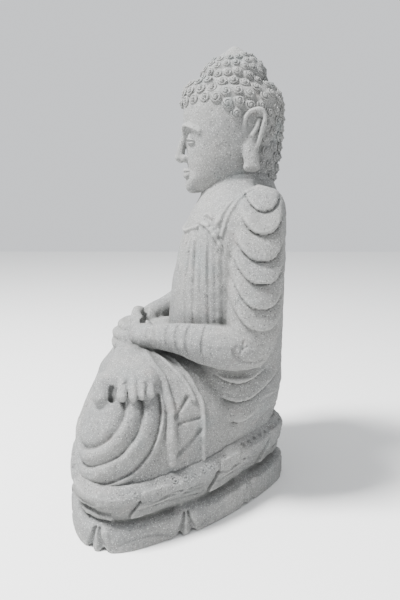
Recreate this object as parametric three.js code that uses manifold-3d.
// A seated figure in meditation on a two-tier lotus base, carved as one from a block of volcanic stone.
// Millimetres, +Z up. The figure faces -Y, its left knee is at +X; the origin is the middle of the underside.
import * as THREE from "three";
import { mergeVertices } from "three/addons/utils/BufferGeometryUtils.js";
import Module from "manifold-3d";

const wasm = await Module();
wasm.setup();

// Driving sizes. The figure's own forms further down are shares of FIGURE_HEIGHT.
const FIGURE_HEIGHT = 860; // from the seat to the tip of the hair
const BASE_MARGIN = 7; // the base stands this far out from the robe round the legs
const LOWER_TIER = 51;
const TIER_GROOVE = 13;
const TIER_GROOVE_DEPTH = 20;
const PETAL_BAND = 30; // the outward petals of the upper tier
const BEAD_BAND = 32; // the beaded roll over them
const BACK_RISE = 18; // the roll climbs by this much behind the figure
const SKIRT = 14; // the lowest edge of the robe, between the top of the base and the seat
const FOOT_ROUND = 1.5;
const PETALS = 10; // on each tier, those of the upper one staggered by half a petal
const PETAL_NOTCH = 11;
const EDGE_ROUND = 5;
const BEAD_RELIEF = 3;
const BASE_COLUMNS = 60;

const STONE = new THREE.MeshStandardMaterial({ color: 0xa6a8a3, roughness: 0.92, metalness: 0 });

// The legs' outline from above: an egg, broad across the knees and narrow at the back.
const LAP_HALF = 0.349;
const LAP_FRONT = 0.2616;
const LAP_BACK = 0.3035;
const LAP_NARROWING = 0.6;
const LAP_SQUARENESS = 2.33;
const LAP_SHIFT = -0.0163; // the place of the outline's widest line, front to back

const BASE_TOP = LOWER_TIER + TIER_GROOVE + PETAL_BAND + BEAD_BAND;
const SEAT = BASE_TOP + SKIRT; // the figure is measured from here
const TURN = 2 * Math.PI;
const { cos, sin, abs, max, min, PI } = Math;

const power = (value, exponent) => Math.sign(value) * abs(value) ** exponent;
const mix = (a, b, t) => a + (b - a) * t;
const ramp = (from, to, value) => {
  const t = min(1, max(0, (value - from) / (to - from)));
  return t * t * (3 - 2 * t);
};
const bump = (middle, width, value) => Math.exp(-(((value - middle) / width) ** 2));
const v3 = (x, y, z) => new THREE.Vector3(x, y, z);

// A smooth curve through [place, value] keys.
function keyed(keys, place) {
  const last = keys.length - 1;
  if (place <= keys[0][0]) return keys[0][1];
  if (place >= keys[last][0]) return keys[last][1];
  const k = keys.findIndex((key) => key[0] > place) - 1;
  const slope = (a, b) => (keys[b][1] - keys[a][1]) / (keys[b][0] - keys[a][0]);
  const span = keys[k + 1][0] - keys[k][0];
  const t = (place - keys[k][0]) / span;
  const leave = slope(max(0, k - 1), k + 1) * span;
  const arrive = slope(k, min(last, k + 2)) * span;
  const rise = keys[k + 1][1] - keys[k][1];
  return keys[k][1] + t * (leave + t * (3 * rise - 2 * leave - arrive + t * (leave + arrive - 2 * rise)));
}

// A closed surface of rings, one for each row from the lowest to the highest; the end rows are single points.
function skin(around, rows, at) {
  const sphere = new THREE.SphereGeometry(1, around, rows.length - 1);
  const place = sphere.attributes.position;
  const uv = sphere.attributes.uv;
  const top = rows.length - 1;
  for (let i = 0; i < place.count; i++) {
    const row = Math.round(uv.getY(i) * top);
    const pole = row === 0 || row === top;
    const turn = pole ? 0 : Math.round(uv.getX(i) * around) / around;
    const point = at(turn % 1, rows[row], row);
    place.setXYZ(i, point.x, point.y, point.z);
  }
  sphere.deleteAttribute("normal");
  sphere.deleteAttribute("uv");
  const merged = mergeVertices(sphere, 1e-4);
  const faces = [];
  for (let i = 0; i < merged.index.count; i += 3) {
    const face = merged.index.array.slice(i, i + 3);
    if (new Set(face).size === 3) faces.push(...face);
  }
  return new wasm.Manifold(
    new wasm.Mesh({
      numProp: 3,
      vertProperties: new Float32Array(merged.attributes.position.array),
      triVerts: new Uint32Array(faces),
    }),
  );
}

// The same for the figure, whose points are shares of its height above the seat.
const flesh = (around, rows, at) =>
  skin(around, rows, (turn, row, j) =>
    at(turn, row, j).multiplyScalar(FIGURE_HEIGHT).add(v3(0, 0, SEAT)),
  );

// A limb along a curve; each row is [place on the curve, half-width across up, half-height].
function limb(spine, around, rows, up = v3(0, 0, 1)) {
  return flesh(around, rows, (turn, [place, wide, high]) => {
    const centre = spine.getPoint(place);
    const ahead = spine.getTangent(place);
    const side = v3().crossVectors(up, ahead).normalize();
    const over = v3().crossVectors(ahead, side);
    return centre
      .addScaledVector(side, wide * cos(turn * TURN))
      .addScaledVector(over, high * sin(turn * TURN));
  });
}

const curve = (...points) => new THREE.CatmullRomCurve3(points.map((p) => v3(...p)));

// Rows of a limb with rounded ends and one thickness, or one that tapers.
function rounded(wide, high, endWide = wide, endHigh = high, rings = 3) {
  const places = [0, ...Array.from({ length: rings }, (_, n) => mix(0.06, 0.94, n / (rings - 1))), 1];
  return places.map((t) => {
    const swell = Math.sqrt(max(0, 1 - (2 * t - 1) ** 6));
    return [t, mix(wide, endWide, t) * swell, mix(high, endHigh, t) * swell];
  });
}

const mirrored = (solid) => solid.mirror([1, 0, 0]);
const joined = (solids) => solids.reduce((a, b) => a.add(b));

// A point of the outline of the legs, or of the base round them, in millimetres; angle 0 looks to its left.
function outline(angle, margin) {
  const half = LAP_HALF * FIGURE_HEIGHT + margin;
  const reach = (sin(angle) > 0 ? LAP_BACK : LAP_FRONT) * FIGURE_HEIGHT + margin;
  const x = half * power(cos(angle), 2 / LAP_SQUARENESS) * (1 - LAP_NARROWING * sin(angle));
  return new THREE.Vector2(x, reach * power(sin(angle), 2 / LAP_SQUARENESS) + LAP_SHIFT * FIGURE_HEIGHT);
}

// Angles at equal steps of length round the base, starting from the middle of its front.
function evenAngles(count) {
  const steps = 3600;
  const angles = Array.from({ length: steps + 1 }, (_, i) => (i / steps - 0.25) * TURN);
  const points = angles.map((angle) => outline(angle, BASE_MARGIN));
  const lengths = [0];
  for (let i = 1; i <= steps; i++) lengths.push(lengths[i - 1] + points[i].distanceTo(points[i - 1]));
  return Array.from({ length: count }, (_, c) => {
    const wanted = (c / count) * lengths[steps];
    return angles[lengths.findIndex((length) => length >= wanted)];
  });
}
const BASE_ANGLES = evenAngles(BASE_COLUMNS);

// 1 at the line between two petals and 0 away from it.
function petalLine(turn, offset) {
  const share = turn * PETALS + offset;
  const away = abs(share - Math.round(share)) * 2;
  return max(0, 1 - away * 3) ** 0.7;
}

// The lotus base as one turned profile round the outline; each row is [inset, height, what is carved there].
function base() {
  const foot = LOWER_TIER + TIER_GROOVE;
  const beads = foot + PETAL_BAND;
  const rows = [
    [0, 0, "plain"],
    [FOOT_ROUND, 0, "petals below"],
    [0, LOWER_TIER * 0.14, "petals below"],
    [0, LOWER_TIER * 0.5, "petals below"],
    [4, LOWER_TIER * 0.82, "petals below"],
    [EDGE_ROUND * 2, LOWER_TIER, "plain"],
    [TIER_GROOVE_DEPTH, LOWER_TIER, "plain"],
    [EDGE_ROUND, foot, "petals above"],
    [0, foot + PETAL_BAND * 0.45, "petals above"],
    [EDGE_ROUND, beads, "plain"],
    [2, beads + BEAD_BAND * 0.35, "beads"],
    [EDGE_ROUND, beads + BEAD_BAND * 0.8, "beads"],
    [TIER_GROOVE_DEPTH, BASE_TOP, "plain"],
    [0, BASE_TOP, "plain"],
  ];
  return skin(BASE_COLUMNS, rows, (turn, [inset, height, carved], row) => {
    if (row === 0 || row === rows.length - 1) return v3(0, 0, height);
    const column = Math.round(turn * BASE_COLUMNS);
    const cuts = {
      "plain": 0,
      "petals below": PETAL_NOTCH * petalLine(turn, 0),
      "petals above": PETAL_NOTCH * petalLine(turn, 0.5),
      "beads": BEAD_RELIEF * (column % 2),
    };
    const point = outline(BASE_ANGLES[column], BASE_MARGIN);
    const shrink = 1 - (inset + cuts[carved]) / point.length();
    const behind = ramp(0, LAP_BACK * FIGURE_HEIGHT, point.y);
    const climb = BACK_RISE * behind * max(0, (height - LOWER_TIER) / (BASE_TOP - LOWER_TIER));
    return v3(point.x * shrink, point.y * shrink, height + climb);
  });
}

// The outline's own angle for the direction of a point, found by halving.
function planAngle(point) {
  const wanted = Math.atan2(point.y, point.x);
  const half = wanted > 0 ? 0 : -PI;
  let low = half;
  let high = half + PI;
  for (let step = 0; step < 18; step++) {
    const middle = (low + high) / 2;
    const edge = outline(middle, 0);
    if (Math.atan2(edge.y, edge.x) < wanted) low = middle;
    else high = middle;
  }
  return low;
}

// How much of the outline the robe over the legs keeps at a height.
const LAP_TAPER = [
  [-0.1, 0.92],
  [0, 0.93],
  [0.06, 0.915],
  [0.1, 0.875],
  [0.135, 0.81],
  [0.17, 0.73],
  [0.205, 0.62],
  [0.228, 0.46],
  [0.236, 0.25],
];

// A point on the robe over the legs, raised off it by lift.
function onLap(angle, z, lift) {
  const edge = outline(angle, 0).divideScalar(FIGURE_HEIGHT);
  const grow = keyed(LAP_TAPER, z) + lift / edge.length();
  return v3(edge.x * grow, edge.y * grow, z);
}

function lap() {
  const heights = [-0.1, -0.1, 0, 0.06, 0.1, 0.135, 0.17, 0.205, 0.228, 0.236];
  return flesh(28, heights, (turn, z, j) =>
    j === 0 || j === heights.length - 1 ? v3(0, 0, z) : onLap((turn - 0.25) * TURN, z, 0),
  );
}

// The knee under its nested rolls, shells round one point in it; each row is [distance, how far raised].
const KNEE_MIDDLE = v3(0.283, -0.187, 0.109);
const KNEE_OUT = v3(0.6, -0.77, 0.2).normalize();
const KNEE_SHAPE = v3(1, 1.113, 1.042);
const KNEE_ROLLS = [[0.178, -0.006], [0.17, 0.004], [0.159, 0.0015], [0.15, 0.0085], [0.129, 0.009],
  [0.119, 0.0015], [0.11, 0.0095], [0.09, 0.0095], [0.08, 0.0015], [0.067, 0.011], [0.015, 0.014]];
const KNEE_ROOT = v3(0.15, -0.06, 0.02); // inside the robe: the rolls are closed here and rise away from it
const KNEE_SUNK = 0.004; // where they have died out they lie this deep under the robe
const KNEE_COLUMNS = 16;
const KNEE_TOP = [0.2, 0.165]; // the rolls die out between these heights, under the foot

// The point of the robe at a distance from the middle of the knee, in a direction round it.
function onShell(distance, round) {
  let out = 0;
  let inward = PI;
  const point = v3();
  for (let step = 0; step < 26; step++) {
    const lean = (out + inward) / 2;
    const way = KNEE_OUT.clone().multiplyScalar(cos(lean)).addScaledVector(round, sin(lean));
    point.copy(KNEE_MIDDLE).addScaledVector(way, distance / way.clone().multiply(KNEE_SHAPE).length());
    const edge = outline(planAngle(point), 0).divideScalar(FIGURE_HEIGHT);
    const within = point.z < LAP_TAPER.at(-1)[0];
    if (within && Math.hypot(point.x, point.y) < edge.length() * keyed(LAP_TAPER, point.z)) inward = lean;
    else out = lean;
  }
  return point;
}

function knee() {
  const east = v3().crossVectors(v3(0, 0, 1), KNEE_OUT).normalize();
  const north = v3().crossVectors(KNEE_OUT, east);
  const rows = [[0, 0], ...KNEE_ROLLS];
  return flesh(KNEE_COLUMNS, rows, (turn, [distance, rise], row) => {
    if (row === 0) return KNEE_ROOT.clone();
    const round = east.clone().multiplyScalar(cos(turn * TURN)).addScaledVector(north, sin(turn * TURN));
    const point = onShell(distance, round);
    const way = point.clone().sub(KNEE_ROOT).normalize();
    const shown = ramp(KNEE_TOP[0], KNEE_TOP[1], point.z);
    return point.addScaledVector(way, mix(min(0, rise) - KNEE_SUNK, rise, shown));
  });
}

// The crossed shins in front, the figure's right one on top.
function shins() {
  const right = curve([-0.3, -0.14, 0.09], [-0.2, -0.185, 0.1], [0, -0.17, 0.14], [0.14, -0.13, 0.18]);
  const left = curve([0.28, -0.16, 0.02], [0.15, -0.205, 0.02], [-0.05, -0.205, 0.035], [-0.2, -0.18, 0.05]);
  return joined([limb(right, 12, rounded(0.062, 0.062, 0.042, 0.04)), limb(left, 12, rounded(0.06, 0.06))]);
}

// A foot lying sole up on the opposite thigh, toes outwards; each toe is [place, reach, thickness].
const TOES = [[-0.173, 0.304, 0.019], [-0.137, 0.319, 0.0125], [-0.111, 0.322, 0.0122], [-0.086, 0.32, 0.012],
  [-0.062, 0.31, 0.012]];

function foot() {
  const sole = curve([0.02, -0.13, 0.205], [0.12, -0.125, 0.222], [0.21, -0.117, 0.205],
    [0.265, -0.115, 0.175]);
  const toes = TOES.map(([y, reach, thick]) => {
    const spine = curve([0.245, y, 0.198], [reach - 0.018, y, 0.186], [reach, y, 0.156]);
    return limb(spine, 6, rounded(thick, thick));
  });
  const body = limb(sole, 12, [
    [0, 0, 0],
    [0.03, 0.025, 0.02],
    [0.15, 0.04, 0.034],
    [0.4, 0.044, 0.036],
    [0.7, 0.056, 0.032],
    [0.93, 0.058, 0.024],
    [1, 0, 0],
  ]);
  return joined([body, ...toes]);
}

// Raised hems of the robe, running from the wrist over the thigh to the base.
const HEM = 0.008;
const HEM_LIFT = 0.004;
function hem(points) {
  const spine = new THREE.CatmullRomCurve3(
    points.map(([degrees, z]) => onLap((degrees * PI) / 180, z, HEM_LIFT)),
  );
  return limb(spine, 5, rounded(HEM, HEM, HEM, HEM, 6));
}

const frontHem = () => hem([[-36, 0.222], [-10, 0.19], [-2, 0.14], [0, 0.07], [1, 0]]);
const backHem = () => hem([[-20, 0.229], [8, 0.19], [16, 0.14], [18, 0.07], [19, 0]]);

// The body in its robe, from the seat to the neck: half-width, front and back by height.
const BODY_WIDE = [[-0.05, 0.205], [0.05, 0.21], [0.13, 0.205], [0.25, 0.2], [0.4, 0.218], [0.5, 0.234],
  [0.56, 0.228], [0.6, 0.196], [0.63, 0.14], [0.645, 0.1], [0.66, 0.075]];
const BODY_FRONT = [[-0.05, 0], [0.13, -0.025], [0.25, -0.029], [0.365, -0.021], [0.44, -0.008],
  [0.501, 0.006], [0.581, 0.037], [0.62, 0.066], [0.645, 0.088], [0.66, 0.1]];
const BODY_BACK = [[-0.05, 0.266], [0.079, 0.27], [0.128, 0.279], [0.53, 0.281], [0.58, 0.278], [0.61, 0.266],
  [0.63, 0.252], [0.66, 0.235]];
const BODY_SQUARENESS = 2.3;
const CHEST_FOLD = 0.0045;

// A point on the body's robe; angle -90 degrees looks to the front, 0 to the figure's left.
function onBody(angle, z, lift) {
  const front = keyed(BODY_FRONT, z);
  const back = keyed(BODY_BACK, z);
  const depth = (back - front) / 2;
  const wide = keyed(BODY_WIDE, z);
  const grow = 1 + lift / depth;
  const x = wide * power(cos(angle), 2 / BODY_SQUARENESS) * grow;
  return v3(x, front + depth + depth * power(sin(angle), 2 / BODY_SQUARENESS) * grow, z);
}

// The folds over the hips and round the back hang in loops, lowest beside the knees, each ending in a lip.
const HIP_FOLDS = [0.016, 0.062, 0.114, 0.161, 0.205];
const HIP_STEP = 0.011;
const HIP_RISE = 0.09; // how much higher the loops hang in front of and behind their lowest place
const HIP_Y = 0.145;
const HIP_SPREAD = 0.11;
const BODY_RINGS = [0.25, 0.3, 0.36, 0.42, 0.48, 0.54, 0.6, 0.63, 0.645, 0.66]; // plain rings above the loops

function body() {
  const rows = [[-0.05, 0], [-0.04, 0]];
  for (const z of HIP_FOLDS) rows.push([z - 0.008, -0.3], [z, 1]);
  for (const z of BODY_RINGS) rows.push([z, 0]);
  const columns = 24;
  return flesh(columns, rows, (turn, [level, hip], j) => {
    const middle = (keyed(BODY_FRONT, level) + keyed(BODY_BACK, level)) / 2;
    if (j === 0 || j === rows.length - 1) return v3(0, middle, level);
    const angle = (turn - 0.25) * TURN;
    const side = Math.round(turn * columns) % 2 ? -1 : 1;
    const pleat = side * CHEST_FOLD * ramp(0.2, 0.7, -sin(angle)) * ramp(0.54, 0.46, level);
    const away = (onBody(angle, level, 0).y - HIP_Y) / HIP_SPREAD;
    const hanging = HIP_RISE * (1 - Math.exp(-(away ** 2))) * ramp(0, 0.016, level) * ramp(0.36, 0.2, level);
    return onBody(angle, level + hanging, pleat + hip * HIP_STEP);
  });
}

// The upper arm under overlapping crescent folds: each swells down to its lip and steps in under it.
const CRESCENTS = [0.581, 0.533, 0.472, 0.419, 0.361, 0.309];
const CRESCENT_STEP = 0.0115;
const CRESCENT_RISE = 0.062;
const ARM_X = [[0.21, 0.215], [0.3, 0.212], [0.42, 0.21], [0.48, 0.203], [0.535, 0.194], [0.58, 0.178],
  [0.64, 0.15]];
const ARM_WIDE = [[0.21, 0.035], [0.24, 0.05], [0.3, 0.06], [0.42, 0.064], [0.535, 0.062], [0.58, 0.058],
  [0.61, 0.05], [0.632, 0.036], [0.645, 0.015]];
const ARM_FRONT = [[0.21, 0.05], [0.24, 0.07], [0.3, 0.078], [0.45, 0.078], [0.52, 0.072], [0.58, 0.062],
  [0.61, 0.052], [0.632, 0.036], [0.645, 0.015]];
const ARM_BACK = [[0.21, 0.045], [0.24, 0.056], [0.3, 0.06], [0.55, 0.062], [0.58, 0.066], [0.61, 0.06],
  [0.632, 0.044], [0.645, 0.018]];
const ARM_Y = 0.192;

function upperArm() {
  const rows = [[0.205, 0], [0.21, 0], [0.235, 0], [0.265, 0.3]];
  for (const z of [...CRESCENTS].reverse()) rows.push([z - 0.007, -0.5], [z, 0.5]);
  rows.push([0.61, 0], [0.632, 0], [0.642, 0]);
  const ends = rows.length - 1;
  return flesh(12, rows, (turn, [z, step], j) => {
    const x = keyed(ARM_X, z);
    if (j === 0 || j === ends) return v3(x, ARM_Y, z);
    const across = sin(turn * TURN);
    const wide = keyed(ARM_WIDE, z) + step * CRESCENT_STEP;
    const deep = keyed(across < 0 ? ARM_FRONT : ARM_BACK, z) + step * CRESCENT_STEP;
    const lift = CRESCENT_RISE * abs(across) ** 2.8 * ramp(0.665, 0.52, z) * ramp(0.235, 0.3, z);
    return v3(x + wide * cos(turn * TURN), ARM_Y + deep * across, z + lift);
  });
}

// The forearm, its sleeve gathered in cross folds up to the cuff.
const SLEEVE_FOLD = 0.003;
const SLEEVE_RINGS = 7;
function forearm() {
  const spine = curve([0.213, 0.19, 0.258], [0.224, 0.1, 0.262], [0.203, 0.015, 0.272], [0.14, -0.07, 0.268],
    [0.06, -0.115, 0.255]);
  const rows = [[0, 0, 0], [0.02, 0.03, 0.03]];
  for (let n = 0; n < SLEEVE_RINGS; n++) {
    const t = mix(0.12, 0.86, n / (SLEEVE_RINGS - 1));
    const fold = n % 2 ? SLEEVE_FOLD : -SLEEVE_FOLD;
    rows.push([t, mix(0.056, 0.034, t) + fold, mix(0.056, 0.03, t) + fold]);
  }
  rows.push([0.88, 0.026, 0.024], [0.98, 0.026, 0.02], [1, 0, 0]);
  return limb(spine, 9, rows);
}

// A hand lying palm up in the lap, fingers across the body, the thumb raised to meet the other one.
const HAND_LIFT = 0.012; // the right hand lies in the left one and is this much higher
function hand(lift) {
  const palm = curve([0.1, -0.1, 0.238], [0.045, -0.135, 0.23], [-0.02, -0.145, 0.226]);
  const parts = [limb(palm, 8, rounded(0.05, 0.034, 0.052, 0.03))];
  for (let n = 0; n < 4; n++) {
    const y = -0.118 - n * 0.021;
    const reach = [0.075, 0.09, 0.085, 0.065][n];
    const finger = curve([0, y, 0.226], [-reach / 2, y, 0.228], [-reach, y, 0.234]);
    parts.push(limb(finger, 5, rounded(0.012, 0.012)));
  }
  const thumb = curve([0.062, -0.115, 0.25], [0.035, -0.125, 0.285], [-0.004, -0.125, 0.302]);
  parts.push(limb(thumb, 6, rounded(0.015, 0.013)));
  return joined(parts).translate([0, 0, lift * FIGURE_HEIGHT]);
}

// The head without its hair: a face on plain proportions, and the neck.
const HEAD_MIDDLE_Y = 0.135;
const FACE_WIDE = [[0.628, 0.0], [0.64, 0.045], [0.665, 0.076], [0.7, 0.098], [0.75, 0.109], [0.8, 0.112],
  [0.85, 0.108], [0.89, 0.09], [0.91, 0.0]];
const FACE_FRONT = [[0.628, 0.06], [0.64, 0.035], [0.66, 0.022], [0.69, 0.024], [0.72, 0.02], [0.78, 0.018],
  [0.83, 0.014], [0.86, 0.02], [0.9, 0.05]];

function face() {
  const heights = [0.628, 0.634, 0.645, 0.662, 0.69, 0.72, 0.748, 0.77, 0.795, 0.83, 0.87, 0.89];
  return flesh(20, heights, (turn, z, j) => {
    const front = keyed(FACE_FRONT, z);
    const reach = HEAD_MIDDLE_Y - front;
    if (j === 0 || j === heights.length - 1) return v3(0, HEAD_MIDDLE_Y - reach * 0.4, z);
    const angle = (turn - 0.25) * TURN;
    const facing = max(0, -sin(angle));
    const socket = 0.008 * bump(0.77, 0.012, z) * bump(0.42, 0.2, abs(cos(angle))) * ramp(0.2, 0.6, facing);
    const y = sin(angle) < 0 ? reach * power(sin(angle), 0.88) : 0.1 * sin(angle);
    return v3(keyed(FACE_WIDE, z) * power(cos(angle), 0.92), HEAD_MIDDLE_Y + y + socket, z);
  });
}

function features() {
  const nose = limb(curve([0, 0.03, 0.795], [0, 0.017, 0.76], [0, 0.01, 0.721]), 8, [
    [0, 0, 0],
    [0.1, 0.009, 0.009],
    [0.6, 0.012, 0.014],
    [0.93, 0.02, 0.017],
    [1, 0, 0],
  ]);
  const lips = [0.686, 0.674].map((z) => {
    const spine = curve([-0.03, 0.036, z + 0.002], [0, 0.021, z], [0.03, 0.036, z + 0.002]);
    return limb(spine, 5, rounded(0.008, 0.006));
  });
  const lidLine = curve([0.016, 0.03, 0.759], [0.04, 0.024, 0.763], [0.066, 0.046, 0.759]);
  const lid = limb(lidLine, 5, rounded(0.01, 0.009));
  return joined([nose, ...lips, lid, mirrored(lid)]);
}

function neck() {
  const spine = curve([0, 0.165, 0.57], [0, 0.16, 0.64], [0, 0.15, 0.74]);
  const rows = [[0, 0, 0], [0.02, 0.115, 0.11], [0.3, 0.09, 0.094], [0.5, 0.077, 0.086], [0.98, 0.075, 0.08],
    [1, 0, 0]];
  return limb(spine, 14, rows);
}

// Long ears: a raised rim round a hollow, and a flat lobe. Their sections are [place, width, thickness].
function ear() {
  const outward = v3(1, 0, 0);
  const rim = curve([0.1, 0.174, 0.772], [0.111, 0.158, 0.803], [0.116, 0.171, 0.83], [0.119, 0.197, 0.83],
    [0.119, 0.213, 0.8], [0.117, 0.204, 0.76], [0.11, 0.19, 0.735]);
  const lobe = curve([0.1, 0.182, 0.79], [0.11, 0.184, 0.74], [0.113, 0.185, 0.682]);
  const lobeRows = [[0, 0, 0], [0.05, 0.016, 0.02], [0.5, 0.018, 0.016], [0.97, 0.026, 0.012], [1, 0, 0]];
  return joined([
    limb(rim, 6, rounded(0.008, 0.014, 0.008, 0.014, 5), outward),
    limb(lobe, 8, lobeRows, outward),
  ]);
}

// The hair in snail curls over the skull and the raised crown, with a plain pointed tip.
const HAIR_BACK = [[0.64, 0.245], [0.66, 0.257], [0.69, 0.266], [0.76, 0.272], [0.83, 0.273], [0.871, 0.269],
  [0.887, 0.258], [0.903, 0.244], [0.92, 0.237], [0.935, 0.232], [0.951, 0.226], [0.967, 0.209],
  [0.984, 0.183], [1, 0.142]];
const HAIR_FRONT = [[0.64, 0.1], [0.7, 0.03], [0.85, 0.012], [0.871, 0.009], [0.887, 0.017], [0.903, 0.036],
  [0.92, 0.055], [0.935, 0.063], [0.951, 0.073], [0.967, 0.092], [0.984, 0.114], [1, 0.142]];
const HAIR_WIDE = [[0.64, 0.066], [0.69, 0.09], [0.76, 0.112], [0.83, 0.12], [0.86, 0.116], [0.887, 0.102],
  [0.903, 0.086], [0.92, 0.078], [0.935, 0.074], [0.951, 0.068], [0.967, 0.053], [0.984, 0.032], [1, 0.0]];
const HAIR_ROOT = v3(0, 0.15, 0.76); // where the points that the face covers are drawn together
const CURL = 0.006;
const CURL_COLUMNS = 28;

function hair() {
  const heights = [0.64];
  for (let n = 0; n < 13; n++) heights.push(mix(0.646, 0.87, n / 12));
  heights.push(0.887, 0.904, 0.92, 0.938, 0.956, 0.972, 0.987, 1);
  const hairline = (facing) => 0.635 + 0.215 * ramp(-0.4, 0.25, facing);
  return flesh(CURL_COLUMNS, heights, (turn, z, j) => {
    const front = keyed(HAIR_FRONT, z);
    const back = keyed(HAIR_BACK, z);
    const middle = (front + back) / 2;
    if (j === 0) return HAIR_ROOT.clone();
    if (j === heights.length - 1) return v3(0, middle, z);
    const angle = (turn - 0.25) * TURN;
    const column = Math.round(turn * CURL_COLUMNS);
    const raised = j % 2 === 0 && (column + j / 2) % 2 === 0;
    const curl = (raised ? CURL : -CURL / 2) * ramp(1, 0.97, z);
    if (z < hairline(-sin(angle))) return HAIR_ROOT.clone();
    const grow = 1 + curl / 0.1;
    const x = keyed(HAIR_WIDE, z) * cos(angle);
    return v3(x * grow, middle + ((back - front) / 2) * sin(angle) * grow, z);
  });
}

// A raised cord or edge that follows the body's robe; each point is [degrees, height].
function onRobe(points, thick, rings) {
  const spine = new THREE.CatmullRomCurve3(
    points.map(([degrees, z]) => onBody((degrees * PI) / 180, z, thick / 2)),
  );
  return limb(spine, 5, rounded(thick, thick, thick, thick, rings));
}

// The tie of the robe on the left of the chest: a loop, a bow and two tails.
const TIE_CORD = 0.006;
function tie() {
  return joined([
    onRobe([[-50, 0.515], [-54, 0.54], [-47, 0.548], [-44, 0.525]], TIE_CORD, 4),
    onRobe([[-49, 0.52], [-42, 0.5], [-36, 0.52], [-33, 0.55]], TIE_CORD, 4),
    onRobe([[-46, 0.51], [-42, 0.485], [-34, 0.462]], TIE_CORD, 2),
    onRobe([[-48, 0.51], [-47, 0.485], [-42, 0.458]], TIE_CORD, 2),
  ]);
}

// The edge of the outer robe down from the shoulder, and the edge of the robe under it across the chest.
const ROBE_EDGE = 0.007;
function lapels() {
  return joined([
    onRobe([[-24, 0.6], [-27, 0.57], [-33, 0.52], [-34, 0.44]], ROBE_EDGE, 4),
    onRobe([[-52, 0.51], [-80, 0.5], [-110, 0.512], [-138, 0.55], [-157, 0.61]], ROBE_EDGE, 5),
  ]);
}

function statue() {
  const side = joined([upperArm(), forearm(), knee(), frontHem(), ear()]);
  const solid = joined([
    base(), lap(), body(), neck(), face(), features(), hair(), side,
    mirrored(side), backHem(), shins(), foot(), hand(0), mirrored(hand(HAND_LIFT)), tie(), lapels(),
  ]);
  // Pockets shut in where forms meet are filled: only the outer surface is kept.
  const outer = solid.decompose().reduce((a, b) => (b.volume() > a.volume() ? b : a));
  const mesh = outer.getMesh();
  const geometry = new THREE.BufferGeometry();
  geometry.setAttribute("position", new THREE.BufferAttribute(mesh.vertProperties, 3));
  geometry.setIndex(new THREE.BufferAttribute(mesh.triVerts, 1));
  geometry.computeBoundingBox();
  const box = geometry.boundingBox;
  geometry.translate(-(box.min.x + box.max.x) / 2, -(box.min.y + box.max.y) / 2, -box.min.z);
  geometry.computeVertexNormals();
  const carving = new THREE.Mesh(geometry, STONE);
  carving.name = "buddha_statue";
  return carving;
}

const group = new THREE.Group();
group.add(statue());
export default group;
